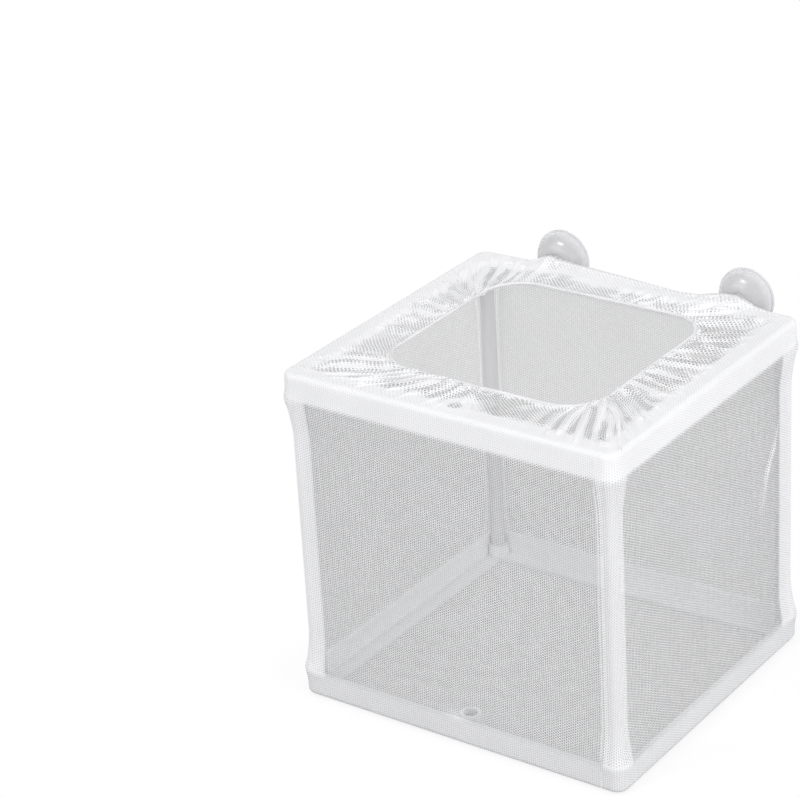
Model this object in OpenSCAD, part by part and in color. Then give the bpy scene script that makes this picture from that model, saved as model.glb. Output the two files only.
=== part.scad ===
// Net breeding box for small fish. Two rectangular plastic rings are held apart by four round
// posts, a mesh bag covers them and is drawn in by elastic at the mouth, and two suction cups
// turn in ears at the back of the upper ring.
// Millimetres. X runs along the front, Y to the back, Z up. The origin is the middle of the
// face that the box stands on.

/* [Frame rings] */
// Length of both rings along the front
frame_w = 157; // [110:1:260]
// Depth of both rings from front to back
frame_d = 146.4; // [100:0.2:220]
// Height from the underside of the lower ring to the top of the upper ring
frame_h = 149.2; // [90:0.2:220]
// Height of one ring's wall
ring_h = 11; // [8:0.5:16]
// Thickness of a ring's wall
ring_wall = 1.8; // [1.2:0.1:2.6]
// Width of a ring's flange, from the outer face inwards
flange_w = 8.8; // [7:0.1:12]
// Thickness of a ring's flange
flange_t = 1.5; // [1:0.1:2.5]
// Rounding of the rings' outer long edges
edge_r = 2; // [0.6:0.1:2.2]

/* [Posts and sockets] */
// Diameter of a post
post_d = 6.3; // [4:0.1:7]
// Distance of a post's axis from the rings' outer faces
post_inset = 5.1; // [4.5:0.1:5.6]
// Wall of a socket round a post
socket_wall = 1.5; // [1:0.1:1.8]
// Height of a socket, from the flange's outer face
socket_h = 6.5; // [4:0.5:10]
// Gap between a post and its socket, all round
post_gap = 0.05; // [0:0.01:0.2]

/* [Bosses and ears] */
// Diameter of the hollow boss at the middle of each ring's front flange
boss_d = 8.6; // [8:0.1:10]
// Bore of the boss
boss_bore_d = 6; // [4:0.1:6.2]
// Height of the boss, from the flange's outer face
boss_h = 9.8; // [4:0.1:12]
// Radius of the flange's half-round tab round the boss
tab_r = 6.6; // [5.5:0.1:6.9]
// Distance of the bosses from the frame's middle line, towards +X
boss_shift = 1.1; // [-5:0.1:5]
// Radius of the two rear ears
ear_r = 4.4; // [4.2:0.1:6]
// Height of the ears' tops above the upper ring
ear_rise = 3.8; // [3.4:0.1:5]
// Distance of the ears' middle from the frame's middle line, towards +X
ear_shift = 3; // [-5:0.1:5]

/* [Net bag] */
// Thickness of the mesh
net_t = 0.4; // [0.2:0.1:0.6]
// Length over which the mesh draws in from a ring to the posts
draw_in_len = 18; // [10:1:30]
// Width of the side seam
seam_w = 1.4; // [0.8:0.1:3]
// Height of the side seam's welt above the mesh
seam_h = 0.6; // [0.3:0.1:1]
// Distance of the side seam from the right outer face
seam_inset = 9.2; // [8:0.1:30]

/* [Mouth] */
// Length of the mouth along the front, inside the hem
mouth_w = 98.6; // [60:0.2:116]
// Depth of the mouth, inside the hem
mouth_d = 95.4; // [60:0.2:106]
// Corner radius of the mouth
mouth_r = 17; // [8:1:30]
// Distance of the mouth's middle from the frame's, towards +X
mouth_shift_x = -1; // [-4:0.1:4]
// Distance of the mouth's middle from the frame's, towards +Y
mouth_shift_y = 2.6; // [-4:0.1:4]
// Diameter of the rolled hem
hem_d = 2.2; // [1.8:0.1:4]
// Diameter of the elastic cord inside the hem
elastic_d = 1; // [0.6:0.1:1.2]
// Gap between the elastic and the hem, all round
elastic_gap = 0.1; // [0.05:0.01:0.2]

/* [Suction cups] */
// Diameter of a cup at its lip
cup_d = 25.8; // [20:0.2:40]
// Height of a cup from its collar's face to its lip
cup_h = 9.4; // [7:0.1:14]
// Distance between the two cups' axes
cup_spacing = 90.4; // [60:0.2:110]
// Distance of the cups' axes below the top of the upper ring
cup_drop = 0.6; // [0:0.1:1]
// Diameter of a cup's neck
cup_neck_d = 5; // [3.5:0.1:5.4]
// Gap between a neck and its ear, all round
neck_gap = 0.05; // [0.01:0.01:0.1]
// End play of a neck in its ear, on each side
neck_play = 0.2; // [0.1:0.05:0.4]
// Diameter of the button that holds a cup in its ear
button_d = 7; // [6:0.1:7.2]
// Thickness of the button
button_t = 2.4; // [1.6:0.1:3.2]
// Diameter of the collar at the back of a cup
collar_d = 9; // [7:0.1:11]
// Thickness of a cup's skin at the lip
lip_t = 0.9; // [0.6:0.1:1.4]
// Width of the flat of the lip
lip_w = 1.2; // [0.8:0.1:2]
// How far the lip stands out from the back of the cup
lip_ledge = 0.7; // [0.3:0.1:1]
// Thickness of a cup at its middle
crown_t = 3; // [2:0.1:4]

/* [Hidden] */
$fn = 48;
eps = 0.01;
plastic_white = [0.93, 0.93, 0.94];
post_white = [0.9, 0.9, 0.91];
mesh_white = [0.86, 0.86, 0.87];
hem_white = [0.97, 0.97, 0.98];
clear_grey = [0.82, 0.82, 0.85, 0.7];
// Levels
ring_z = net_t;
top_z = ring_z + frame_h;
upper_ring_z = top_z - ring_h;
bag_top = top_z + net_t;
// Half sizes of the frame and of the bag that covers it
half_w = frame_w / 2;
half_d = frame_d / 2;
bag_half_w = half_w + net_t;
bag_half_d = half_d + net_t;
corner_r = post_inset;
// Posts
post_r = post_d / 2;
post_x = half_w - post_inset;
post_y = half_d - post_inset;
post_z = ring_z + flange_t;
post_len = frame_h - 2 * flange_t;
socket_r = post_r + post_gap + socket_wall;
// Mesh: how far it lies inside the rings' outer faces at a post
draw_in = corner_r - post_r - post_gap;
curve_steps = 8;
// Mouth
mouth_half_w = mouth_w / 2;
mouth_half_d = mouth_d / 2;
hem_r = hem_d / 2;
hem_z = bag_top - net_t / 2;
hem_bore_r = elastic_d / 2 + elastic_gap;
// Suction cups
cup_z = top_z - cup_drop;
cup_x = cup_spacing / 2;
neck_r = cup_neck_d / 2;
ear_z = top_z + ear_rise - ear_r;
hood_r = ear_r + post_gap;
notch_half_w = button_d / 2 + 0.6;
notch_d = button_t + neck_play + 1.2;
hood_start = half_d - ring_wall - notch_d;
collar_face = net_t + neck_play + 0.2;
lip_face = collar_face + cup_h;
net_clearance = 0.5;

// A block with round vertical edges, standing on z = 0
module rounded_block(half_x, half_y, height, radius) {
    translate([-half_x + radius, -half_y, 0]) cube([2 * (half_x - radius), 2 * half_y, height]);
    translate([-half_x, -half_y + radius, 0]) cube([2 * half_x, 2 * (half_y - radius), height]);
    for (sx = [-1, 1], sy = [-1, 1])
        translate([sx * (half_x - radius), sy * (half_y - radius), 0]) cylinder(h = height, r = radius);
}

// What a round takes off the outer edge at z = 0, all round a ring
module edge_cutter() {
    for (side = [0, 1]) {
        run = side == 0 ? frame_w - 2 * corner_r : frame_d - 2 * corner_r;
        reach = side == 0 ? half_d : half_w;
        for (turn = [0, 180])
            rotate([0, 0, side * 90 + turn]) translate([-run / 2, -reach, 0]) difference() {
                translate([0, -eps, -eps]) cube([run, edge_r + eps, edge_r + eps]);
                translate([-eps, edge_r, edge_r]) rotate([0, 90, 0]) cylinder(h = run + 2 * eps, r = edge_r + eps);
            }
    }
    for (sx = [-1, 1], sy = [-1, 1])
        translate([sx * (half_w - corner_r), sy * (half_d - corner_r), 0]) rotate_extrude() difference() {
            translate([corner_r - edge_r, -eps]) square([edge_r + eps, edge_r + eps]);
            translate([corner_r - edge_r, edge_r]) circle(r = edge_r + eps);
        }
}

// One ring with its flange at z = 0 and its wall rising from the flange's outer edge
module plain_ring() {
    flange_half_w = half_w - flange_w;
    flange_half_d = half_d - flange_w;
    difference() {
        union() {
            difference() {
                union() {
                    difference() {
                        rounded_block(half_w, half_d, ring_h, corner_r);
                        translate([0, 0, flange_t])
                            rounded_block(half_w - ring_wall, half_d - ring_wall, ring_h, corner_r - ring_wall);
                    }
                    for (sx = [-1, 1], sy = [-1, 1]) translate([sx * post_x, sy * post_y, 0])
                        cylinder(h = socket_h, r = socket_r);
                }
                translate([-flange_half_w, -flange_half_d, -eps])
                    cube([2 * flange_half_w, 2 * flange_half_d, ring_h]);
            }
            translate([boss_shift, -flange_half_d, 0]) {
                cylinder(h = flange_t, r = tab_r);
                cylinder(h = boss_h, d = boss_d);
            }
        }
        translate([boss_shift, -flange_half_d, -eps]) cylinder(h = boss_h + 2 * eps, d = boss_bore_d);
        for (sx = [-1, 1], sy = [-1, 1]) translate([sx * post_x, sy * post_y, flange_t])
            cylinder(h = ring_h, r = post_r + post_gap);
        edge_cutter();
    }
}

// An upright plate with a half-round top, its centre at z = 0 and its outer face at y = 0
module ear() {
    rotate([90, 0, 0]) cylinder(h = ring_wall, r = ear_r);
    translate([-ear_r, -ring_wall, -ring_wall]) cube([2 * ear_r, ring_wall, ring_wall]);
}

module post(sx, sy) {
    color(post_white) translate([sx * post_x, sy * post_y, post_z]) cylinder(h = post_len, r = post_r);
}

module bottom_frame() {
    color(plastic_white) translate([0, 0, ring_z]) plain_ring();
}

// The upper ring is the same ring turned over, with two ears at the back that hold the cups.
// Its flange is notched behind each ear, where the cup's button sits.
module top_frame() {
    color(plastic_white) difference() {
        union() {
            translate([0, 0, top_z]) mirror([0, 0, 1]) plain_ring();
            for (side = [-1, 1]) translate([ear_shift + side * cup_x, half_d, ear_z]) ear();
        }
        for (side = [-1, 1]) translate([ear_shift + side * cup_x, 0, 0]) {
            translate([0, half_d - ring_wall - eps, cup_z]) rotate([-90, 0, 0])
                cylinder(h = ring_wall + 2 * eps, r = neck_r + neck_gap);
            translate([-notch_half_w, hood_start, top_z - flange_t - eps])
                cube([2 * notch_half_w, notch_d, flange_t + ear_r]);
        }
    }
}

// How far the mesh lies inside the rings' outer faces at height z
function eased(t) = (1 - cos(180 * t)) / 2;
function inset_at(z) =
    let (from_ring = min(z - ring_z - ring_h, upper_ring_z - z))
    draw_in * eased(max(0, min(1, from_ring / draw_in_len)));

// Heights at which the mesh's profile has a point
wall_levels = concat([0, ring_z + ring_h],
    [for (i = [1 : curve_steps]) ring_z + ring_h + draw_in_len * i / curve_steps],
    [for (i = [0 : curve_steps - 1]) upper_ring_z - draw_in_len * (1 - i / curve_steps)],
    [upper_ring_z, top_z]);

// The mesh's profile: x is the distance from the post's axis, y is the height
module net_profile(skin, out) {
    face = [for (z = wall_levels) [corner_r + net_t - inset_at(z) + out, z]];
    back = [for (i = [len(face) - 1 : -1 : 0]) [face[i][0] - skin, face[i][1]]];
    polygon(concat(face, back));
}

// One wall of the bag facing -Y: a panel between two posts and half of the round at each post
module net_wall(run, reach) {
    translate([-run / 2, -reach + corner_r, 0]) rotate([90, 0, 90]) mirror([1, 0, 0])
        linear_extrude(run) net_profile(net_t, 0);
    for (side = [-1, 1]) translate([side * run / 2, -reach + corner_r, 0])
        rotate([0, 0, side > 0 ? -90 : -135]) rotate_extrude(angle = 45) net_profile(net_t, 0);
}

// The hole that a cup's neck passes through in the mesh
module neck_hole(side) {
    translate([ear_shift + side * cup_x, half_d - eps, cup_z]) rotate([-90, 0, 0])
        cylinder(h = net_t + 2 * eps, r = neck_r + net_clearance);
}

front_run = frame_w - 2 * corner_r;
side_run = frame_d - 2 * corner_r;

module net_front() {
    color(mesh_white) net_wall(front_run, half_d);
}

module net_right() {
    color(mesh_white) rotate([0, 0, 90]) net_wall(side_run, half_w);
}

module net_left() {
    color(mesh_white) rotate([0, 0, -90]) net_wall(side_run, half_w);
}

module net_rear() {
    color(mesh_white) difference() {
        rotate([0, 0, 180]) net_wall(front_run, half_d);
        for (side = [-1, 1]) neck_hole(side);
    }
}

module net_floor() {
    color(mesh_white) rounded_block(half_w - eps, half_d - eps, net_t, corner_r - eps);
}

// The part of the skirt between the mouth and one side: a wedge with its point at the mouth's middle
module skirt_wedge(x1, y1, x2, y2) {
    reach = 2;
    translate([0, 0, top_z - eps]) linear_extrude(net_t + 2 * eps)
        polygon([[mouth_shift_x, mouth_shift_y], [reach * x1, reach * y1], [reach * x2, reach * y2]]);
}

module skirt_panel(x1, y1, x2, y2) {
    intersection() {
        difference() {
            translate([0, 0, top_z]) rounded_block(bag_half_w, bag_half_d, net_t, corner_r + net_t);
            translate([mouth_shift_x, mouth_shift_y, top_z - eps])
                rounded_block(mouth_half_w + hem_d, mouth_half_d + hem_d, net_t + 2 * eps, mouth_r + hem_d);
        }
        skirt_wedge(x1, y1, x2, y2);
    }
}

// A round bar along Y over a rear ear, from y = start to y = finish
module ear_bar(side, start, finish, r) {
    translate([ear_shift + side * cup_x, start, ear_z]) rotate([-90, 0, 0]) cylinder(h = finish - start, r = r);
}

module net_skirt_front() {
    color(mesh_white) skirt_panel(-bag_half_w, -bag_half_d, bag_half_w, -bag_half_d);
}

module net_skirt_right() {
    color(mesh_white) skirt_panel(bag_half_w, -bag_half_d, bag_half_w, bag_half_d);
}

module net_skirt_left() {
    color(mesh_white) skirt_panel(-bag_half_w, bag_half_d, -bag_half_w, -bag_half_d);
}

// The rear of the skirt, with a hood of mesh over each ear
module net_skirt_rear() {
    color(mesh_white) difference() {
        union() {
            skirt_panel(bag_half_w, bag_half_d, -bag_half_w, bag_half_d);
            difference() {
                for (side = [-1, 1]) ear_bar(side, hood_start, bag_half_d, hood_r + net_t);
                translate([-bag_half_w, 0, 0]) cube([2 * bag_half_w, frame_d, top_z]);
            }
        }
        for (side = [-1, 1]) {
            ear_bar(side, hood_start + net_t, half_d, hood_r);
            neck_hole(side);
        }
    }
}

// A round bar of radius r that follows the mouth
module mouth_bar(r) {
    half_x = mouth_half_w - mouth_r;
    half_y = mouth_half_d - mouth_r;
    translate([mouth_shift_x, mouth_shift_y, hem_z]) {
        for (sy = [-1, 1]) translate([-half_x, sy * (mouth_half_d + hem_r), 0])
            rotate([0, 90, 0]) cylinder(h = 2 * half_x, r = r);
        for (sx = [-1, 1]) translate([sx * (mouth_half_w + hem_r), half_y, 0])
            rotate([90, 0, 0]) cylinder(h = 2 * half_y, r = r);
        for (quarter = [0 : 3]) {
            sx = quarter == 0 || quarter == 3 ? 1 : -1;
            sy = quarter < 2 ? 1 : -1;
            translate([sx * half_x, sy * half_y, 0]) rotate([0, 0, quarter * 90])
                rotate_extrude(angle = 90) translate([mouth_r + hem_r, 0]) circle(r = r);
        }
    }
}

module mouth_hem() {
    color(hem_white) difference() {
        mouth_bar(hem_r);
        mouth_bar(hem_bore_r);
    }
}

module elastic_cord() {
    color(hem_white) mouth_bar(elastic_d / 2);
}

module side_seam() {
    color(hem_white) translate([half_w - seam_inset - seam_w / 2, -half_d + corner_r, 0])
        rotate([90, 0, 90]) mirror([1, 0, 0]) linear_extrude(seam_w) net_profile(seam_h, seam_h);
}

// A cup's outline: x is the distance from its axis, y is the distance behind the ear's outer face
module cup_outline() {
    inner = -ring_wall - neck_play;
    collar_r = collar_d / 2;
    lip_r = cup_d / 2;
    foot = collar_face + 1.4;
    crown = collar_face + crown_t;
    steps = 10;
    button = [for (i = [0 : steps]) let (a = 90 * i / steps)
        [button_d / 2 * sin(a), inner - 0.8 - (button_t - 0.8) * cos(a)]];
    back = [for (i = [0 : steps]) let (t = i / steps)
        [collar_r + (lip_r - lip_ledge - collar_r) * sin(90 * t),
            foot + (lip_face - lip_t - foot) * (1 - cos(90 * t))]];
    hollow = [for (i = [0 : steps]) let (t = i / steps)
        [(lip_r - lip_w) * cos(90 * t), lip_face - (lip_face - crown) * sin(90 * t)]];
    polygon(concat(button, [[button_d / 2, inner], [neck_r, inner], [neck_r, collar_face],
        [collar_r, collar_face]], back, [[lip_r, lip_face - lip_t], [lip_r, lip_face]], hollow));
}

module suction_cup(side) {
    color(clear_grey) translate([ear_shift + side * cup_x, half_d, cup_z])
        rotate([-90, 0, 0]) rotate_extrude($fn = 64) cup_outline();
}

top_frame();
bottom_frame();
post(-1, -1);  // post_front_left
post(1, -1);  // post_front_right
post(-1, 1);  // post_rear_left
post(1, 1);  // post_rear_right
net_floor();
net_front();
net_right();
net_rear();
net_left();
net_skirt_front();
net_skirt_right();
net_skirt_rear();
net_skirt_left();
mouth_hem();
elastic_cord();
side_seam();
suction_cup(-1);  // suction_cup_left
suction_cup(1);  // suction_cup_right
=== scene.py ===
import math
import random

import bpy
import numpy as np
from mathutils import Matrix


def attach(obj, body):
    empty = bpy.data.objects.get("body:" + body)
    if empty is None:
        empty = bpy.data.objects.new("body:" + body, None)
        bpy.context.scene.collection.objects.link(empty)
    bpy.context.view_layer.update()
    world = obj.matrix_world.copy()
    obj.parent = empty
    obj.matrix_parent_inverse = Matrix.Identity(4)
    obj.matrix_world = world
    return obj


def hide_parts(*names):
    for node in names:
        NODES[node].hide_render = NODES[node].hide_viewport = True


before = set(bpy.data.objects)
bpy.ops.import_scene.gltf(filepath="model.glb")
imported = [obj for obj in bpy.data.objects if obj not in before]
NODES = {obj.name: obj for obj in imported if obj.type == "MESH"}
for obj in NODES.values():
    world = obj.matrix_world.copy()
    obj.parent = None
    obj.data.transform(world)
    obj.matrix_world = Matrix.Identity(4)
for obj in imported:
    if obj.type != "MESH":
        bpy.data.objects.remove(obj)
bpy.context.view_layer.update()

# The net breeding box, dressed. Lengths in this script are millimetres until a mesh is made.
# X runs along the front, Y to the back, Z up, and the origin is the middle of the standing face.
MM = 0.001

# ---- sizes that follow part.scad ----
HALF_W, HALF_D = 78.5, 73.2          # outer faces of the rings
POST_INSET, POST_R = 5.1, 3.15       # a post's axis inside those faces, and a post's radius
PX, PY = HALF_W - POST_INSET, HALF_D - POST_INSET
RING_Z, RING_H, TOP_Z = 0.4, 11.0, 149.6   # lower ring's foot, a ring's height, upper ring's top
LOW_RING_TOP, HIGH_RING_FOOT = RING_Z + RING_H, TOP_Z - RING_H
EDGE_R = 2.0                         # rounding of the rings' long outer edges
FLANGE_W = 8.8                       # width of the rings' flanges
TAB, TAB_R, BORE_R = (1.1, -64.4), 6.6, 3.0   # half-round tab and bore, at the flange's front middle
MOUTH_C = (-1.0, 2.6)                # the mouth's middle, half its sides and its corners' radius
MOUTH_HALF, MOUTH_R = (49.3, 47.7), 17.0
EAR_X, EAR_R, EAR_Z = (-42.2, 48.2), 4.4, 149.0   # the ears' places, and radius and middle of their tops
CUP_Z, NECK_R = 149.0, 2.5           # height of the cups' axes, and radius of their necks
SEAM_X = 69.3                        # the side seam, on the front side

# ---- how the mesh bag lies ----
SHEET = 0.25                         # the mesh's middle lies this far off what it covers
COLUMN_STEP, CORNER_STEPS = 0.9, 12  # spacing of its columns on the sides, and steps round a corner
DRAW_LEN = 18.0                      # it draws in over this length next to a ring
DRAWN = POST_INSET - POST_R - 0.05   # and lies this far inside the rings' faces at a post,
SPAN_LOSS, SPAN = 0.55, 30.0         # less this share of it once it is this far along from one
LOOSE_LEN = 14.0                     # its waves grow over this length next to a ring
LIFT_LEN = 6.0                       # the rear edge is lifted over this length below the top
HEM_OUT, HEM_R, HEM_Z = 1.1, 0.66, 149.8   # the hem's distance from the mouth's edge, radius, height
NECK_HOLE = NECK_R + 0.45            # radius of the holes for the cups' necks
NARROW = 0.10                        # the knit narrows by this share on its way to the hem
SKIRT_ROWS, ROUNDS = 30, 90          # rows of the skirt, and steps of its draping
HEM_LIFT = 0.2                       # height of the skirt's end over the ring
FANS = ((-70, 66), (70, -66))        # the two tightest corners of the skirt
FAN_REACH, FOLD_PITCH = 30.0, 8.2    # reach and spacing of the firm folds there
TIGHT = (0.46, 0.25, 0.46, 0.22)     # length of hem per length of strip, at the mouth's rear right,
                                     # rear left, front left and front right corner
# creases in the right wall: where each starts and ends (y, z), its half width and its height
CREASES = ((57.0, 110.0, 51.5, 93.0, 1.5, 0.5),
           (53.5, 101.0, 44.5, 86.0, 2.0, 0.6),
           (49.0, 95.0, 42.0, 74.0, 2.2, 0.35))
# height of the rear edge above the ring, held up by the two ears, as (x, height)
REAR_EDGE = ((-78, 0), (-52, 0.3), (-46.5, 2.7), (EAR_X[0], 3.8), (-38, 3.1), (-30, 2.4), (-20, 2.0),
             (-5, 1.5), (10, 0.9), (22, 0.45), (31, 0.9), (39, 2.5), (44, 3.6), (EAR_X[1], 3.8),
             (52.5, 2.7), (58, 1.0), (64, 0.25), (72, 0))

# ---- the knit ----
PITCH = 1.15                         # distance between neighbouring holes
HOLE, CLOSING = 0.49, 0.42           # radius of an open hole, and how much of it gathering takes
STRAY = 0.22                         # how far the holes stray from their lattice
SHADED_HOLE, SHADED_HOLE_BACKED = 0.67, 0.94       # light that a hole lets through, open and over white plastic; the loss is painted shade for the shade that the mesh, which casts none, would throw on what lies behind it, and over plastic a painted contact shadow
STRETCH = 0.72                       # share of the holes across the skirt, whose knit is pulled longer
# the posts' bands of painted light: how far from a post the knit is closed and the holes' painted shade
# lifted, so that the lit post seems to show through the mesh, on the right wall's rear half, on the front
# wall's left half and elsewhere
BAND_RIGHT, BAND_LEFT, BAND = 10.2, 6.9, 3.4

# ---- the cups and the background ----
LIP_FROM, LIP_TO = 10.9, 12.2        # a cup turns into its lip between these radii
SEEN, GIVEN = 1.0, 0.785             # strength of the background where it is seen, and of its light

# ---- camera: fitted to the photograph ----
PHOTO_W, SENSOR_MM = 800, 36.0
FOCAL_PX, AZ, EL, ROLL = 2784.6, 36.871, 25.252, 3.490
FIT_H = 150.0                        # height of the box in the fit
SHIFT_T = (0.4116, 0.3038, 7.7407)   # the box's centre seen from the camera, in box heights


def unit(v):
    v = np.array(v, float)
    return v / np.linalg.norm(v)


def put(ob, x, y, z, place):
    """Set an object's axes and place, and bring it into the scene."""
    m = np.eye(4)
    m[:3, 0], m[:3, 1], m[:3, 2], m[:3, 3] = x, y, z, place
    ob.matrix_world = Matrix(m.tolist())
    bpy.context.scene.collection.objects.link(ob)
    return ob


def make_camera():
    a, e, r = (math.radians(x) for x in (AZ, EL, ROLL))
    ahead = -np.array([math.sin(a) * math.cos(e), -math.cos(a) * math.cos(e), math.sin(e)])
    level = unit(np.cross(ahead, [0, 0, 1]))
    under = np.cross(ahead, level)
    right = math.cos(r) * level + math.sin(r) * under
    down = -math.sin(r) * level + math.cos(r) * under
    rows = np.array([right, down, ahead])
    place = (-rows.T @ np.array(SHIFT_T) * FIT_H + np.array([0, 0, FIT_H / 2])) * MM
    data = bpy.data.cameras.new("camera")
    data.sensor_fit, data.sensor_width = "HORIZONTAL", SENSOR_MM
    data.lens = FOCAL_PX / PHOTO_W * SENSOR_MM
    data.clip_start, data.clip_end = 0.05, 20.0
    bpy.context.scene.camera = put(bpy.data.objects.new("camera", data), right, -down, -ahead, place)


# ---- materials ----
class Tree:
    """A short way to write a node tree."""

    def __init__(self, node_tree, material=None):
        self.nodes, self.links, self.material = node_tree.nodes, node_tree.links, material
        self.nodes.clear()

    @classmethod
    def new(cls, name):
        """The tree of a new material."""
        material = bpy.data.materials.new(name)
        material.use_nodes = True
        return cls(material.node_tree, material)

    def add(self, kind, inputs=(), **props):
        n = self.nodes.new(kind)
        for k, v in props.items():
            setattr(n, k, v)
        for k, v in dict(inputs).items():
            if isinstance(v, bpy.types.NodeSocket):
                self.links.new(v, n.inputs[k])
            else:
                n.inputs[k].default_value = v
        return n

    def math(self, op, a, b):
        return self.add("ShaderNodeMath", {0: a, 1: b}, operation=op).outputs[0]

    def vec(self, op, a, b=(0, 0, 0)):
        n = self.add("ShaderNodeVectorMath", {0: a, 1: b}, operation=op)
        return n.outputs["Value" if op == "LENGTH" else "Vector"]

    def ramp(self, value, low, high, to_low=0.0, to_high=1.0, smooth=True):
        return self.add("ShaderNodeMapRange", {"Value": value, "From Min": low, "From Max": high,
                                               "To Min": to_low, "To Max": to_high},
                        interpolation_type="SMOOTHSTEP" if smooth else "LINEAR").outputs["Result"]

    def attribute(self, name):
        return self.add("ShaderNodeAttribute", attribute_name=name).outputs["Fac"]

    def place(self):
        return self.add("ShaderNodeTexCoord").outputs["Object"]

    def cloth_uv(self):
        return self.add("ShaderNodeUVMap", uv_map="cloth").outputs["UV"]

    def noise(self, vector, scale, detail=2.0):
        inputs = {"Vector": vector, "Scale": scale, "Detail": detail}
        return self.add("ShaderNodeTexNoise", inputs).outputs["Fac"]

    def varied(self, vector, scale, detail, to_low, to_high):
        """A value that wanders between two limits over the piece."""
        return self.ramp(self.noise(vector, scale, detail), 0.3, 0.7, to_low, to_high, smooth=False)

    def grey(self, value):
        return self.add("ShaderNodeCombineColor", {"Red": value, "Green": value, "Blue": value}).outputs[0]

    def shade(self, colour, tone):
        """A colour times a tone."""
        return self.add("ShaderNodeMix", {"Factor": 1.0, "A": (*colour, 1), "B": self.grey(tone)},
                        data_type="RGBA", blend_type="MULTIPLY").outputs["Result"]

    def bump(self, height, strength, distance):
        return self.add("ShaderNodeBump", {"Strength": strength, "Distance": distance,
                                           "Height": height}).outputs[0]

    def mix(self, factor, a, b):
        return self.add("ShaderNodeMixShader", {0: factor, 1: a, 2: b}).outputs[0]

    def out(self, shader):
        self.add("ShaderNodeOutputMaterial", {"Surface": shader})
        return self.material


def mesh_material(name, colour=(0.87, 0.87, 0.885)):
    """Knitted mesh: holes on a hexagonal lattice. The attribute gather closes the holes, and backed_or_lit
    says how far the mesh lies right on white plastic or in a band of painted light. The holes hold painted
    shade, less where it is high."""
    t = Tree.new(name)
    uv, place = t.cloth_uv(), t.place()
    wide, high = PITCH * math.sqrt(3), PITCH
    sway = t.add("ShaderNodeTexNoise", {"Vector": place, "Scale": 34.0, "Detail": 1.0}).outputs["Color"]
    sway = t.vec("MULTIPLY", t.vec("SUBTRACT", sway, (0.5, 0.5, 0.5)), (STRAY, STRAY, 0))
    grid = t.vec("DIVIDE", t.vec("ADD", uv, sway), (wide, high, 1))

    def nearest(shift):
        f = t.vec("FRACTION", t.vec("ADD", grid, (shift, shift, 0)))
        return t.vec("LENGTH", t.vec("MULTIPLY", t.vec("SUBTRACT", f, (0.5, 0.5, 0)), (wide, high, 0)))

    d = t.math("MINIMUM", nearest(0.0), nearest(0.5))
    gather, backed_or_lit = t.attribute("gather"), t.attribute("backed_or_lit")
    radius = t.math("ADD", t.math("SUBTRACT", HOLE, t.math("MULTIPLY", gather, CLOSING)),
                    t.varied(place, 420.0, 1.0, -0.015, 0.015))
    off_hole = t.math("SUBTRACT", d, radius)
    tint = t.shade(colour, t.varied(place, 30.0, 3.0, 0.97, 1.03))
    bump = t.bump(t.ramp(off_hole, -0.02, 0.12), 0.35, 0.0002)
    cloth = t.add("ShaderNodeBsdfPrincipled", {"Base Color": tint, "Roughness": 0.62, "Normal": bump,
                                               "Sheen Weight": 0.08}).outputs[0]
    # painted shade: an open hole lets through only part of the light, standing in for the shade that the
    # mesh, which casts no shadow, would throw on what lies behind it; over white plastic nearly all, the
    # small loss being a painted contact shadow
    see_through = t.grey(t.ramp(backed_or_lit, 0.0, 1.0, SHADED_HOLE, SHADED_HOLE_BACKED, smooth=False))
    hole = t.add("ShaderNodeBsdfTransparent", {"Color": see_through}).outputs[0]
    return t.out(t.mix(t.ramp(off_hole, -0.05, 0.05), hole, cloth))


def plastic_material(name, colour, grain=900.0):
    """White moulded plastic with a fine grain."""
    t = Tree.new(name)
    place = t.place()
    tint = t.shade(colour, t.varied(place, 40.0, 3.0, 0.975, 1.02))
    fine = t.noise(place, grain)
    rough = t.ramp(fine, 0.3, 0.7, 0.40, 0.52, smooth=False)
    return t.out(t.add("ShaderNodeBsdfPrincipled", {
        "Base Color": tint, "Roughness": rough, "Normal": t.bump(fine, 0.12, 0.0001),
        "Subsurface Weight": 0.3, "Subsurface Radius": (0.002, 0.002, 0.002)}).outputs[0])


def elastic_material(name):
    """The elastic: pale yarn with ridges."""
    t = Tree.new(name)
    ribs = t.add("ShaderNodeTexWave", {"Vector": t.cloth_uv(), "Scale": 0.55, "Distortion": 3.0,
                                       "Detail": 2.0, "Detail Scale": 1.5}).outputs["Fac"]
    tint = t.grey(t.varied(t.place(), 220.0, 2.0, 0.86, 0.96))
    return t.out(t.add("ShaderNodeBsdfPrincipled", {
        "Base Color": tint, "Roughness": 0.6, "Normal": t.bump(ribs, 0.6, 0.0003),
        "Sheen Weight": 0.2}).outputs[0])


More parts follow.
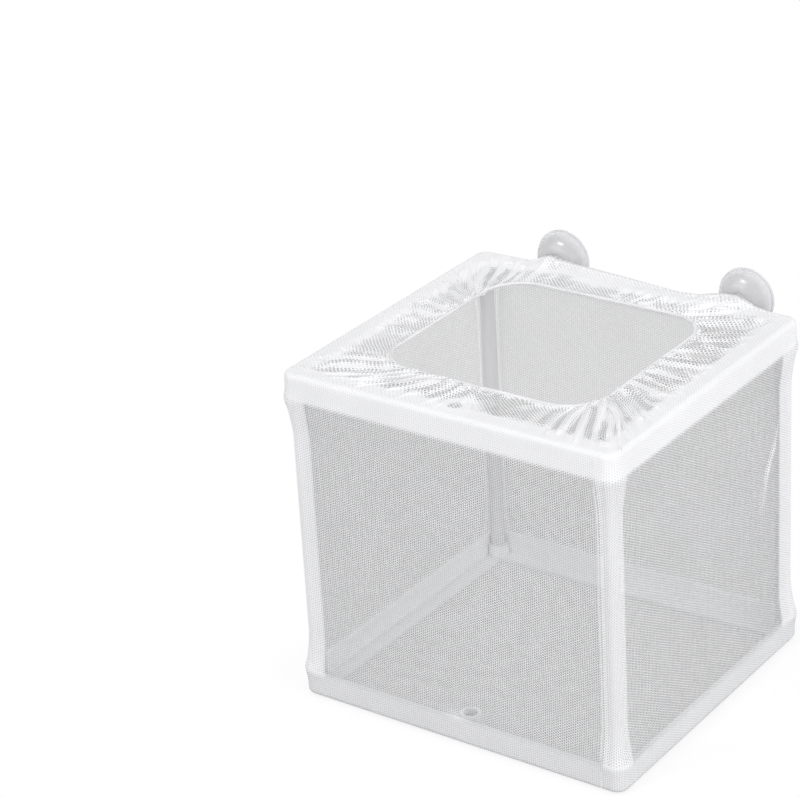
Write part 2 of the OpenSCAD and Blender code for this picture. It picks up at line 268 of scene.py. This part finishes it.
def cup_material(name):
    """Soft clear vinyl, slightly clouded, paler and clearer at the lip, with a glossy face."""
    t = Tree.new(name)
    place = t.place()
    # distance from the cup's axis, the same for both cups
    off = t.vec("ABSOLUTE", t.vec("SUBTRACT", place, ((EAR_X[0] + EAR_X[1]) / 2 * MM, 0, CUP_Z * MM)))
    off = t.vec("SUBTRACT", off, ((EAR_X[1] - EAR_X[0]) / 2 * MM, 0, 0))
    off = t.vec("LENGTH", t.vec("MULTIPLY", off, (1, 0, 1)))

    def to_lip(inside, at_lip):
        return t.ramp(off, LIP_FROM * MM, LIP_TO * MM, inside, at_lip)

    cloud = t.math("MULTIPLY", t.varied(place, 70.0, 3.0, 0.58, 0.63), to_lip(1.0, 1.36))
    tint = t.add("ShaderNodeCombineColor", {"Red": cloud, "Green": cloud,
                                            "Blue": t.math("MULTIPLY", cloud, 1.02)}).outputs[0]
    vinyl = t.add("ShaderNodeBsdfPrincipled", {
        "Base Color": tint, "Roughness": t.varied(place, 160.0, 2.0, 0.22, 0.30), "IOR": 1.5,
        "Coat Weight": 1.0, "Coat IOR": 1.75, "Coat Roughness": 0.2,
        "Subsurface Weight": 0.4, "Subsurface Radius": (0.004, 0.004, 0.004)}).outputs[0]
    through = to_lip(0.935, 0.97)
    see_through = t.add("ShaderNodeCombineColor", {"Red": through, "Green": through,
                                            "Blue": t.math("POWER", through, 0.8)}).outputs[0]
    clear = t.add("ShaderNodeBsdfTransparent", {"Color": see_through}).outputs[0]
    edge = t.add("ShaderNodeLayerWeight", {"Blend": 0.35}).outputs["Facing"]
    solid = t.math("MULTIPLY", t.ramp(edge, 0.3, 0.9, 0.84, 0.3, smooth=False), to_lip(1.0, 0.68))
    return t.out(t.mix(solid, clear, vinyl))


def seen_white(t):
    """1 for the rays that see the background: from the camera, and off or through glass."""
    path = t.add("ShaderNodeLightPath").outputs
    rays = t.math("MAXIMUM", path["Is Camera Ray"], path["Is Glossy Ray"])
    return t.math("MAXIMUM", rays, path["Is Transmission Ray"])


def floor_material(name, colour):
    """White where it is seen, with a faint shadow close to the box, and plain and pale for the
    light it throws back."""
    t = Tree.new(name)
    away = t.vec("SUBTRACT", t.vec("ABSOLUTE", t.place()), (HALF_W * MM, HALF_D * MM, 1.0))
    away = t.vec("LENGTH", t.vec("MAXIMUM", away, (0, 0, 0)))
    share = t.ramp(away, 0.0, 0.05, 0.24, 0.0)
    lit = t.add("ShaderNodeBsdfDiffuse", {"Color": (*colour, 1)}).outputs[0]
    shaded = t.add("ShaderNodeBsdfDiffuse", {"Color": (0.98, 0.98, 0.98, 1)}).outputs[0]
    white = t.add("ShaderNodeEmission", {"Color": (1, 1, 1, 1), "Strength": 1.0}).outputs[0]
    return t.out(t.mix(seen_white(t), lit, t.mix(share, white, shaded)))


def build_materials():
    return {
        "net": mesh_material("net"),
        "hem": elastic_material("hem"),
        "ring": plastic_material("ring_plastic", (0.85, 0.855, 0.865)),
        # painted shade: the posts' plastic is given darker than the rings' white, standing in for the shade
        # that the mesh would cast on them inside the box
        "post": plastic_material("post_plastic_painted_shade", (0.66, 0.66, 0.675), grain=1400.0),
        "cup": cup_material("cup_vinyl"),
    }


def paint(material, *nodes):
    for node in nodes:
        ob = NODES[node]
        for slot in ob.material_slots:
            slot.material = material
        if not ob.material_slots:
            ob.data.materials.append(material)


# ---- mesh helpers ----
def make_grid(name, points, uvs, material, gather, backed_or_lit, lost=None):
    """A sheet from a rows x columns array of points, with UVs in millimetres and the two values
    that the mesh material reads. Faces at the points that lost marks are left out."""
    index = np.arange(points[..., 0].size).reshape(points.shape[:2])
    quads = np.stack([index[:-1, :-1], index[:-1, 1:], index[1:, 1:], index[1:, :-1]], -1).reshape(-1, 4)
    if lost is not None:
        quads = quads[~lost.ravel()[quads].any(1)]
    me = bpy.data.meshes.new(name)
    me.from_pydata((points.reshape(-1, 3) * MM).tolist(), [], quads.tolist())
    layer = me.uv_layers.new(name="cloth")
    loops = np.empty(len(me.loops), np.int32)
    me.loops.foreach_get("vertex_index", loops)
    layer.data.foreach_set("uv", uvs.reshape(-1, 2)[loops].astype(np.float32).ravel())
    for key, values in (("gather", gather), ("backed_or_lit", backed_or_lit)):
        a = me.attributes.new(key, "FLOAT", "POINT")
        a.data.foreach_set("value", np.asarray(values, np.float32).ravel())
    me.polygons.foreach_set("use_smooth", np.ones(len(me.polygons), bool))
    me.materials.append(material)
    me.update()
    ob = bpy.data.objects.new(name, me)
    bpy.context.scene.collection.objects.link(ob)
    return ob


def smooth01(x):
    x = np.clip(x, 0, 1)
    return x * x * (3 - 2 * x)


def past(distance, width=0.8):
    """0 before an edge and 1 past it, with a soft step of this width."""
    return smooth01((distance + width / 2) / width)


def hump(x, width):
    """1 at x = 0, falling to nothing over a few widths."""
    return np.exp(-(x / width) ** 2)


def from_rim(p):
    """Distance inwards from the rings' outer faces."""
    return np.minimum(HALF_W - np.abs(p[..., 0]), HALF_D - np.abs(p[..., 1]))


class Wobble:
    """Smooth seeded noise between two lengths, built from a few sine waves."""

    def __init__(self, seed, waves=7, longest=90.0, shortest=14.0):
        rng = random.Random(seed)
        self.waves = []
        for i in range(waves):
            length = longest * (shortest / longest) ** (i / (waves - 1))
            turn, rate = rng.uniform(0, 2 * math.pi), 2 * math.pi / length
            self.waves.append((rate * math.cos(turn), rate * math.sin(turn),
                               rng.uniform(0, 2 * math.pi), length / longest))
        self.total = sum(k for *_, k in self.waves)

    def __call__(self, a, b):
        return sum(k * np.sin(x * a + y * b + p) for x, y, p, k in self.waves) / self.total


# ---- the strip's columns: once round the frame, from the side seam ----
def columns():
    """Each column's place on the line of the posts' axes, its outward direction, and its distance
    along the strip."""
    out, u, r = [], 0.0, POST_INSET + SHEET
    stops = ((SEAM_X, -PY), (PX, -PY), (PX, PY), (-PX, PY), (-PX, -PY), (SEAM_X, -PY))
    outward = ((0, -1), (1, 0), (0, 1), (-1, 0), (0, -1))
    for k, n in enumerate(outward):
        p, q = np.array(stops[k], float), np.array(stops[k + 1], float)
        long = np.linalg.norm(q - p)
        steps = max(2, int(round(long / COLUMN_STEP)))
        for i in range(steps):
            s = i / steps
            out.append((*(p + (q - p) * s), *n, u + long * s))
        u += long
        if k < 4:
            for i in range(CORNER_STEPS):
                turned = 90 * i / CORNER_STEPS
                a = math.radians(90 * (k - 1) + turned)
                out.append((*q, math.cos(a), math.sin(a), u + r * math.radians(turned)))
            u += r * math.pi / 2
    out.append((*stops[-1], *outward[-1], u))
    return np.array(out), u


COLS, AROUND = columns()
BX, BY, NX, NY, U = COLS.T
FRONT, RIGHT, REAR = NY < -0.9, NX > 0.9, NY > 0.5
# distance from each column to the nearest post, along the side
POST_GAP = np.where(np.abs(NX) * np.abs(NY) > 1e-9, 0.0,
                    np.where(np.abs(NY) > 0.5, PX - np.abs(BX), PY - np.abs(BY)))
# how far from a post the net is closed and its holes lightened, as painted light for the lit post seen
# through it
POST_LIGHT_REACH = np.where((NX > 0.5) & (BY > 0), BAND_RIGHT, np.where((NY < -0.5) & (BX < 0), BAND_LEFT, BAND))


def ear_top(x):
    """Height of the mesh over a rear ear, or nothing beside it."""
    best = np.full(np.shape(x), -1e9)
    for ex in EAR_X:
        dx = np.abs(x - ex)
        h = EAR_Z + np.sqrt(np.maximum(0, (EAR_R + SHEET) ** 2 - dx ** 2))
        best = np.maximum(best, np.where(dx < EAR_R + SHEET, h, -1e9))
    return best


def rear_lift(x):
    """How far the rear edge of the net stands above the ring, held up by the two ears."""
    tent = np.interp(x, *zip(*REAR_EDGE))
    puff = 0.45 * np.sin(2.3 * x) * hump(x - EAR_X[0], 6.0)
    return np.maximum(tent + puff, ear_top(x) - (TOP_Z + SHEET))


# ---- the wall strip ----
def wall_profile():
    """The strip's profile from under the lower ring to the top of the upper one, as (distance from
    the posts' line, height), and the first row past the lower rounded edge."""
    arc_c, arc_r = POST_INSET - EDGE_R, EDGE_R + SHEET

    def edge(z, angles):
        return [(arc_c + arc_r * math.cos(math.radians(a)), z + arc_r * math.sin(math.radians(a)))
                for a in angles]

    stops = (RING_Z + EDGE_R, LOW_RING_TOP, LOW_RING_TOP + 24,
             HIGH_RING_FOOT - 24, HIGH_RING_FOOT, TOP_Z - EDGE_R)
    zs = np.concatenate([np.linspace(a, b, k)[1:] for a, b, k in zip(stops, stops[1:], (8, 22, 56, 22, 8))])
    bottom = edge(stops[0], np.linspace(-90, 0, 6))
    top = edge(stops[-1], np.linspace(0, 90, 6)[1:])
    return bottom + [(POST_INSET + SHEET, z) for z in zs] + top, len(bottom)


def drawn_in(z, post_gap):
    """How far the strip lies inside the rings' faces at height z, this far along from a post."""
    room = max(0.0, min(z - LOW_RING_TOP, HIGH_RING_FOOT - z))
    return DRAWN * smooth01(room / DRAW_LEN) * (1 - SPAN_LOSS * smooth01(post_gap / SPAN))


def creases(z):
    """The slack creases in the right wall, from its rear upper corner downwards: how far each column
    stands out at height z, and how much closer its knit is."""
    out, closer = np.zeros(len(U)), np.zeros(len(U))
    for y0, z0, y1, z1, wide, tall in CREASES:
        s = (z0 - z) / (z0 - z1)
        if -0.15 < s < 1.15:
            line = y0 + (y1 - y0) * (1.5 * s - 0.5 * s * s)
            fade = smooth01((s + 0.15) / 0.4) * smooth01((1.15 - s) / 0.5)
            fold = hump(BY - line, wide * (0.6 + 0.6 * s)) * fade * RIGHT
            out += tall * fold
            closer += 0.55 * fold * tall
    return out, closer


def wall_look(z):
    """How far the knit of each column is closed at height z, and how far white plastic backs it or painted
    light lifts its holes' painted shade.
    """
    low, high = past(LOW_RING_TOP - z), past(z - HIGH_RING_FOOT)
    post = np.clip(1 - np.maximum(0, POST_GAP - 2.4) / 1.2, 0, 1)
    # painted light: beside the posts, in bands wider than the posts, the knit is closed and its holes
    # lightened, standing in for the lit post seen through the mesh
    post_light = np.clip((POST_LIGHT_REACH - POST_GAP) / 0.8, 0, 1)
    # painted light: the holes are lightened on the front wall where the lower ring's boss stands behind it,
    # so that the boss reads as a lit bump
    lit_boss = hump(BX - TAB[0] + 1, 5.0) * hump(z - LOW_RING_TOP - 1.5, 3.0) * FRONT
    band = 0.1 * post + np.where(POST_LIGHT_REACH > 5, 0.42, 0.16) * post_light
    gather = 0.5 * high + 0.12 * low + band * (1 - low) * (1 - high)
    # painted shade: over the lower ring the holes keep more of their painted shade than over the upper ring
    backed_or_lit = np.maximum(np.maximum(0.3 * low, high), np.maximum(post_light * (1 - low), 0.9 * lit_boss))
    return gather, backed_or_lit


def neck_holes(pts):
    """Open the strip round the cups' necks: move the mesh's edge onto each hole, and say which
    points lie inside."""
    lost = np.zeros(pts.shape[:2], bool)
    for ex in EAR_X:
        d = np.hypot(pts[..., 0] - ex, pts[..., 2] - CUP_Z)
        near = (d < NECK_HOLE) & (pts[..., 1] > HALF_D - 2)
        inner = near & (d < NECK_R - 0.6)
        scale = np.where(near & (d > 1e-6), NECK_HOLE / np.maximum(d, 1e-6), 1.0)
        pts[..., 0] = np.where(near & ~inner, ex + (pts[..., 0] - ex) * scale, pts[..., 0])
        pts[..., 2] = np.where(near & ~inner, CUP_Z + (pts[..., 2] - CUP_Z) * scale, pts[..., 2])
        lost |= inner
    pts[..., 1] = np.where(lost, HALF_D, pts[..., 1])
    return lost


def build_wall(material):
    """The strip round the frame. It also gives the strip's height and its upper rim."""
    profile, first = wall_profile()
    n = len(profile)
    pts, uv = np.zeros((n, len(U), 3)), np.zeros((n, len(U), 2))
    gather, backed_or_lit = np.zeros((n, len(U))), np.zeros((n, len(U)))
    wave = Wobble(4, longest=120, shortest=22)
    fine = Wobble(9, longest=26, shortest=8)
    from_post = smooth01(POST_GAP / SPAN * 3)
    v = 0.0
    for i, (r, z) in enumerate(profile):
        if i:
            v += math.hypot(r - profile[i - 1][0], z - profile[i - 1][1])
        free = float(np.clip(min(z - LOW_RING_TOP, HIGH_RING_FOOT - z) / LOOSE_LEN, 0, 1))
        r = r - (drawn_in(z, POST_GAP) + free * from_post * (0.28 * wave(U, z) + 0.07 * fine(U, z)))
        out, closer = creases(z)
        # the net stands a little proud of the rings' open edges at the corners
        lip = hump(z - LOW_RING_TOP - 0.5, 3.2) + hump(z - HIGH_RING_FOOT + 0.5, 3.2)
        r = r + out + 0.9 * lip * hump(POST_GAP, 4.0)
        x, y = BX + NX * r, BY + NY * r
        heights = np.full(len(U), z)
        if z > TOP_Z - LIFT_LEN:
            lift = rear_lift(BX) * REAR
            heights = heights + lift * smooth01((z - (TOP_Z - LIFT_LEN)) / LIFT_LEN)
            if first + 1 < i < n - 1:
                y = y + np.maximum(0, HALF_D + SHEET - y) * REAR * smooth01(lift / 2.5)
        pts[i] = np.stack([x, y, heights], 1)
        uv[i] = np.stack([U, np.full(len(U), v)], 1)
        gather[i], backed_or_lit[i] = wall_look(z)
        gather[i] += closer
    lost = neck_holes(pts)
    return make_grid("net_wall", pts, uv, material, gather, backed_or_lit, lost), v, pts[-1]


# ---- the mouth and the skirt ----
def mouth_point(angle, grow):
    """The point of the mouth's rounded square in that direction from its middle."""
    hx, hy, r = MOUTH_HALF[0] + grow, MOUTH_HALF[1] + grow, MOUTH_R + grow
    c, s = math.cos(angle), math.sin(angle)
    t = min(hx / abs(c) if abs(c) > 1e-9 else 1e9, hy / abs(s) if abs(s) > 1e-9 else 1e9)
    if abs(t * c) > hx - r and abs(t * s) > hy - r:
        cx, cy = math.copysign(hx - r, c), math.copysign(hy - r, s)
        b = c * cx + s * cy
        t = b + math.sqrt(max(0, b * b - (cx * cx + cy * cy - r * r)))
    return t * c, t * s


def hem_line(steps):
    """The hem's centre line, once round from the mouth's right side: directions from the mouth's
    middle, arc lengths and points."""
    turn = np.linspace(0, 2 * math.pi, steps + 1)
    p = np.array([mouth_point(a, HEM_OUT) for a in turn]) + MOUTH_C
    return turn, np.concatenate([[0], np.cumsum(np.hypot(*np.diff(p, axis=0).T))]), p


def hem_targets(angles):
    """Where each column of the strip meets the hem. The net is nearly flat at the middle of each
    side and is bunched at the mouth's corners, more at two of them."""
    turn, run, p = hem_line(2880)
    u, off_corner = U[:-1], np.abs(np.abs(NX[:-1]) - np.abs(NY[:-1]))
    out = np.zeros(len(u))
    lump = Wobble(77, waves=6, longest=44, shortest=10)
    sweep = np.mod(np.unwrap(angles), 2 * math.pi)
    order = np.argsort(sweep)
    for q, tight in enumerate(TIGHT):
        start, end = q * math.pi / 2, (q + 1) * math.pi / 2
        sel = order[(sweep[order] >= start) & (sweep[order] < end)]
        step = np.mod(u[sel] - u[sel[0]], AROUND)
        mid = step[int(np.argmin(off_corner[sel]))]
        shape = smooth01(np.abs(step - mid) / max(mid, step[-1] - mid))
        h0, h1 = np.interp([start, end], turn, run)
        ratio = (h1 - h0) / (step[-1] + COLUMN_STEP)
        density = (tight + shape * (ratio - tight) / shape.mean()) * np.exp(1.5 * lump(u[sel], 0.0))
        h = np.concatenate([[0], np.cumsum(0.5 * (density[1:] + density[:-1]) * np.diff(step))])
        out[sel] = h0 + h * (h1 - h0) / (h[-1] + COLUMN_STEP * density[-1])
    return np.stack([np.interp(out, run, p[:, 0]), np.interp(out, run, p[:, 1])], 1)


# how the columns hold each other along the strip: how many steps apart, at what distance in steps, how
# firmly when too far apart and when too close, in how many rows at the hem they hold less firmly, and
# the share that is left there
YARNS = ((1, 1.0, 0.5, 0.42, 2, 0.3), (2, 1.86, 0.0, 0.30, 3, 0.3),
         (4, 3.5, 0.0, 0.24, 3, 0.0), (7, 5.0, 0.0, 0.14, 4, 0.0))


def drape(p, rest_u, rest_v, limits):
    """Relax the net. Its yarn lengths are kept, its first and last rows are held, and it stays
    between the two heights that limits gives, so that it has nowhere to go but into folds."""
    kept_speed, weight, ease = 0.88, np.array([0, 0, -0.0015]), 0.42
    speed = np.zeros_like(p)
    free = np.ones((len(p), 1, 1))
    free[0] = free[-1] = 0

    def pull(a, b, rest, tense, slack):
        d = b - a
        long = np.sqrt((d * d).sum(-1, keepdims=True)) + 1e-9
        off = long - rest[..., None]
        return d / long * off * np.where(off > 0, tense, slack)

    for _ in range(ROUNDS):
        before = p.copy()
        p = p + free * (kept_speed * speed + weight)
        for _ in range(3):
            move = np.zeros_like(p)
            for step, share, tense, slack, rows, give in YARNS:
                c = pull(p, np.roll(p, -step, 1), rest_u * share, tense, slack)
                c[-rows:] *= give
                move += c - np.roll(c, step, 1)
            c = pull(p[:-1], p[1:], rest_v, 0.5, 0.25)
            move[:-1] += c
            move[1:] -= c
            c = pull(p[:-2], p[2:], 1.93 * 0.5 * (rest_v[:-1] + rest_v[1:]), 0.0, 0.35)
            move[:-2] += c
            move[2:] -= c
            p = p + free * move * ease
        low, top = limits(p[..., 0], p[..., 1])
        p[..., 2] = np.clip(p[..., 2], low, top)
        speed = p - before
    return p


def room_for_net(x, y):
    """The lowest and highest place of the net. Under it lie the flange, the ears with the cups'
    buttons, or a little room in the opening."""
    depth = np.minimum(HALF_W - np.abs(x), HALF_D - np.abs(y))
    low = np.where(depth < FLANGE_W, TOP_Z + SHEET, TOP_Z - 1.2)
    low = np.where(y > HALF_D - 5.0, np.maximum(low, ear_top(x)), low)
    top = TOP_Z + 0.6 + 1.7 * smooth01((depth - 3) / 8)
    top = top + np.where(y > 0, rear_lift(x) * smooth01((16 - depth) / 14) * (np.abs(x) < HALF_W), 0)
    return low, np.maximum(top, low)


def fan(u):
    """The firm folds at the two tightest corners, along the strip."""
    return np.cos(2 * math.pi * u / FOLD_PITCH + 0.9 * np.sin(u / 9.0))


def waves(rng, count, fewest, u, share):
    """Folds along the strip: a sum of waves, each with between fewest and 60 turns round it."""
    turns = [rng.randint(fewest, 60) for _ in range(count)]
    return sum(rng.uniform(0.5, 1.0) * np.sin(2 * math.pi * u * k / AROUND + rng.uniform(0, 6.3))
               for k in turns) / share


def skirt_start(u, start, goal):
    """The skirt before it is draped: its points, and the lengths of its yarns along the strip and
    across it. Its first row is the wall's rim, and its last row lies at the hem."""
    ts = np.linspace(0, 1, SKIRT_ROWS)[:, None]
    away = goal - start[:, :2]
    span = np.hypot(*away.T)
    end = goal - away / span[:, None] * 0.45
    rng = random.Random(21)
    ripple, lean = waves(rng, 12, 22, u, 4), waves(rng, 6, 20, u, 3)
    corner = np.maximum(*(np.exp(-((start[:, 0] - x) ** 2 + (start[:, 1] - y) ** 2) / FAN_REACH ** 2)
                          for x, y in FANS))
    ripple = ripple * (1 - 0.7 * corner) + 1.2 * corner * fan(u)
    p = np.zeros((SKIRT_ROWS, len(u), 3))
    p[..., :2] = start[:, :2] + (end - start[:, :2]) * ts[..., None]
    p[..., 2] = start[:, 2] + (TOP_Z + HEM_LIFT - start[:, 2]) * ts
    bell = np.sin(math.pi * ts) * smooth01(ts * 1.4)
    p[..., 2] += bell * (0.9 * ripple + 0.25)
    side = np.stack([-away[:, 1], away[:, 0]], 1) / span[:, None]
    p[..., :2] += (bell * 1.3 * lean)[..., None] * side
    p[-1, :, 2] = TOP_Z + HEM_LIFT + 0.22 * ripple
    gap = np.diff(np.append(u, AROUND))
    near_ring = np.linalg.norm(np.roll(start, -1, 0) - start, axis=1)
    rest_u = near_ring + (gap * (1 - NARROW * smooth01(ts)) - near_ring) * smooth01(ts / 0.5)
    slack = 1.006 + 0.012 * lean
    length = np.sqrt(span ** 2 + (start[:, 2] - TOP_Z - HEM_LIFT) ** 2)
    rest_v = np.repeat((length / (SKIRT_ROWS - 1) * slack)[None], SKIRT_ROWS - 1, 0)
    return p, rest_u, rest_v, span


def doubled(p, v, u):
    """The same net with twice as many columns, on a smooth curve through the relaxed ones, and
    with its first column repeated at the end."""
    mid = (9 * (p + np.roll(p, -1, 1)) - np.roll(p, 1, 1) - np.roll(p, -2, 1)) / 16
    p = np.stack([p, mid], 2).reshape(len(p), -1, 3)
    v = np.stack([v, 0.5 * (v + np.roll(v, -1, 1))], 2).reshape(len(p), -1)
    wide = np.stack([u, u + np.diff(np.append(u, AROUND)) / 2], 1).ravel()
    return np.concatenate([p, p[:, :1]], 1), np.concatenate([v, v[:, :1]], 1), np.append(wide, AROUND)


def skirt_look(p, v, wide, span):
    """How far the skirt's knit is closed, and how far white plastic backs it. Steep and squeezed
    mesh, folds, the flange with its tab and the hem's edge all close it."""
    along = p[:, 2:] - p[:, :-2]
    along = np.concatenate([along[:, :1], along, along[:, -1:]], 1)
    normal = np.cross(along, np.gradient(p, axis=0))
    flat = np.abs(normal[..., 2]) / (np.linalg.norm(normal, axis=-1) + 1e-9)
    steep = smooth01((0.86 - flat) / 0.5)
    squeeze = np.linalg.norm(along, axis=-1) / np.gradient(wide) / 2
    x, y, depth = p[..., 0], p[..., 1], from_rim(p)
    tab = np.hypot(x - TAB[0], y - TAB[1])
    bore = 1 - past(tab - BORE_R, 0.6)
    on_ring = np.maximum(1 - past(depth - FLANGE_W), 1 - past(tab - TAB_R)) * (1 - bore)
    to_hem = np.linspace(1, 0, SKIRT_ROWS)[:, None] * np.append(np.repeat(span, 2), span[0])
    patch, crease = Wobble(61, longest=26, shortest=6), Wobble(62, waves=9, longest=34, shortest=7)
    ridge = hump(crease(x, y), 0.05) * smooth01((patch(y, x) + 0.25) / 0.4)
    at_flange = hump(depth - FLANGE_W - 0.8, 2.2) * smooth01((patch(wide, v) + 0.6) / 0.7) * (1 - bore)
    bunched = np.maximum(*(hump(x - 0.86 * fx, 22.0) * hump(y - 0.83 * fy, 22.0) for fx, fy in FANS))
    over_tab = hump(np.maximum(0, tab - 7.5), 2.5) * (1 - bore)
    shaded = (smooth01((-x - 46) / 8) + 0.8 * smooth01((y - 46) / 8)) * (1 - bunched)
    folds = 0.75 * smooth01(0.58 + 0.8 * fan(wide)) - 0.08 + 0.16 * (y > 0)
    loose = 0.5 * ridge + 0.16 * smooth01(patch(x, y) / 0.35) + 0.22 * np.clip(shaded, 0, 1)
    gather = (0.02 + 0.36 * on_ring + (1 - on_ring) * loose + bunched * folds
              + 0.72 * steep + 0.75 * np.clip(1 - squeeze, 0, 1)
              + 0.75 * at_flange + 0.6 * over_tab + 0.6 * hump(to_hem, 1.3))
    return np.clip(gather, 0, 1), np.clip(on_ring, 0, 1)


def build_skirt(material, v0, rim):
    """The gathered skirt between the upper ring and the mouth. It also gives the skirt's mean width."""
    u, start = U[:-1], rim[:-1]
    goal = hem_targets(np.arctan2(start[:, 1] - MOUTH_C[1], start[:, 0] - MOUTH_C[0]))
    p, rest_u, rest_v, span = skirt_start(u, start, goal)
    p = drape(p, rest_u, rest_v, room_for_net)
    v = v0 + np.concatenate([np.zeros((1, len(u))), np.cumsum(rest_v, 0)])
    p, v, wide = doubled(p, v, u)
    gather, backed_or_lit = skirt_look(p, v, wide, span)
    uv = np.stack([np.repeat(wide[None], SKIRT_ROWS, 0), v0 + (v - v0) * STRETCH], -1)
    return make_grid("net_skirt", p, uv, material, gather, backed_or_lit), float(rest_v.sum(0).mean())


# ---- hem, floor and seam ----
def build_hem(material):
    """The hem: mesh rolled round the elastic and puckered by it."""
    steps, sides, puckers = 900, 10, 57
    pucker = Wobble(5, waves=9, longest=14, shortest=1.6)
    _, run, line = hem_line(steps)
    ahead = np.roll(line[:-1], -1, 0) - np.roll(line[:-1], 1, 0)
    ahead = np.concatenate([ahead, ahead[:1]])
    ahead /= np.linalg.norm(ahead, axis=1, keepdims=True)
    pts, uv = np.zeros((sides + 1, steps + 1, 3)), np.zeros((sides + 1, steps + 1, 2))
    wrap_run = run * (2 * math.pi * puckers / run[-1])
    for i in range(sides + 1):
        b = 2 * math.pi * i / sides
        r = HEM_R * (1.0 + 0.38 * pucker(wrap_run, 3.0 * math.cos(b) + 40 * math.sin(b / 2) ** 2))
        r[-1] = r[0]
        pts[i, :, 0] = line[:, 0] + ahead[:, 1] * r * math.cos(b)
        pts[i, :, 1] = line[:, 1] - ahead[:, 0] * r * math.cos(b)
        pts[i, :, 2] = HEM_Z + r * math.sin(b)
        uv[i] = np.stack([run, np.full(steps + 1, i * 0.45)], 1)
    pts[-1] = pts[0]
    gather = 0.66 + 0.45 * pucker(uv[..., 0] * 0.7, uv[..., 1] * 2)
    return make_grid("mouth_hem_roll", pts, uv, material, gather, np.ones(gather.shape))


def build_floor(material):
    """The bag's floor under the lower ring, pulled flat, with rounded corners."""
    nx, ny = 132, 124
    sag = Wobble(14, longest=80, shortest=20)
    hx, hy, r = HALF_W - EDGE_R, HALF_D - EDGE_R, POST_INSET - EDGE_R
    cx, cy = hx - r, hy - r
    pts = np.zeros((ny, nx, 3))
    for i, b in enumerate(np.linspace(-1, 1, ny)):
        for j, a in enumerate(np.linspace(-1, 1, nx)):
            x, y = a * hx, b * hy
            if abs(x) > cx and abs(y) > cy:
                # pull the point onto the corner's arc
                dx, dy = abs(x) - cx, abs(y) - cy
                m, long = max(dx, dy), math.hypot(dx, dy)
                x = math.copysign(cx + dx * m / long, x)
                y = math.copysign(cy + dy * m / long, y)
            free = smooth01((min(hx - abs(x), hy - abs(y)) - 6) / 6)
            pts[i, j] = (x, y, 0.15 + 0.12 * free * (1 + sag(x, y)))
    backed_or_lit = 0.55 * (1 - past(from_rim(pts) - FLANGE_W))
    return make_grid("net_base", pts, pts[..., :2].copy(), material, np.zeros((ny, nx)), backed_or_lit)


def build_seam(material):
    """The side seam: a narrow folded welt with zigzag stitches, on the strip's outer face."""
    rows, sides, stitch_pitch = 260, 9, 1.6
    half_wide, thick, ridge = 0.24, 0.10, 0.08
    lean = Wobble(8, longest=70, shortest=18)
    pts, uv = np.zeros((sides, rows, 3)), np.zeros((sides, rows, 2))
    for j, z in enumerate(np.linspace(0.6, TOP_Z - EDGE_R, rows)):
        y0 = -HALF_D - SHEET + drawn_in(z, PX - SEAM_X)
        x0 = SEAM_X + 0.35 * float(lean(z, 0.0))
        stitch = 0.5 + 0.5 * math.sin(2 * math.pi * z / stitch_pitch)
        for i in range(sides):
            a = math.pi * i / (sides - 1)
            pts[i, j] = (x0 + half_wide * math.cos(a), y0 - (thick + ridge * stitch) * math.sin(a), z)
            uv[i, j] = (z, i * 0.3)
    return make_grid("side_seam_welt", pts, uv, material, np.full((sides, rows), 0.5), np.ones((sides, rows)))


# ---- floor, background and light ----
def stage():
    """The white floor and the background, both in metres."""
    half, z = 3.0, -0.0004
    me = bpy.data.meshes.new("floor")
    corners = [(x * half, y * half, z) for x, y in ((-1, -1), (1, -1), (1, 1), (-1, 1))]
    me.from_pydata(corners, [], [(0, 1, 2, 3)])
    me.materials.append(floor_material("floor", (0.57, 0.57, 0.58)))
    floor = bpy.data.objects.new("floor", me)
    bpy.context.scene.collection.objects.link(floor)
    world = bpy.data.worlds.new("studio")
    bpy.context.scene.world = world
    world.use_nodes = True
    t = Tree(world.node_tree)
    seen, light = (t.add("ShaderNodeBackground", {"Color": (1, 1, 1, 1), "Strength": k}).outputs[0]
                   for k in (SEEN, GIVEN))
    t.add("ShaderNodeOutputWorld", {"Surface": t.mix(seen_white(t), light, seen)})


def lamp(name, place, aim, size, power):
    """A round soft lamp, its place, aim and size in metres and its power in watts."""
    data = bpy.data.lights.new(name, "AREA")
    data.shape, data.size, data.energy = "DISK", size, power
    z = unit(np.array(place, float) - np.array(aim, float))
    x = unit(np.cross((0, 0, 1), z))
    return put(bpy.data.objects.new(name, data), x, np.cross(z, x), z, place)


def light_scene():
    lamp("key", (-0.9, -1.7, 0.55), (0, 0, 0.08), 1.3, 3.8)
    lamp("window", (-0.5, -1.3, 1.5), (0, 0, 0.12), 0.6, 5.7)
    lamp("top", (0.1, 0.1, 1.9), (0, 0, 0.1), 1.3, 0.9)
    fill = lamp("fill", (1.8, -0.5, 0.55), (0, 0, 0.08), 1.4, 16.1)
    fill.visible_glossy = False                # it has no highlight of its own on the cups


def main():
    bpy.context.scene.view_settings.view_transform = "Standard"
    make_camera()
    stage()
    light_scene()
    m = build_materials()
    paint(m["ring"], "top_frame", "bottom_frame")
    paint(m["post"], "post_front_left", "post_front_right", "post_rear_left", "post_rear_right")
    paint(m["cup"], "suction_cup_left", "suction_cup_right")
    paint(m["hem"], "elastic_cord")

    wall, high, rim = build_wall(m["net"])
    skirt, span = build_skirt(m["net"], high, rim)
    base = build_floor(m["net"])
    hem = build_hem(m["net"])
    seam = build_seam(m["net"])
    for ob in (wall, skirt, base, hem, seam):
        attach(ob, "frame_and_bag")
    for ob in (wall, skirt, base):
        ob.visible_shadow = False
        ob.visible_diffuse = False
    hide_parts("net_front", "net_right", "net_rear", "net_left")
    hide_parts("net_skirt_front", "net_skirt_right", "net_skirt_rear", "net_skirt_left")
    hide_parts("net_floor")
    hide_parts("mouth_hem")
    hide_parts("side_seam")


main()
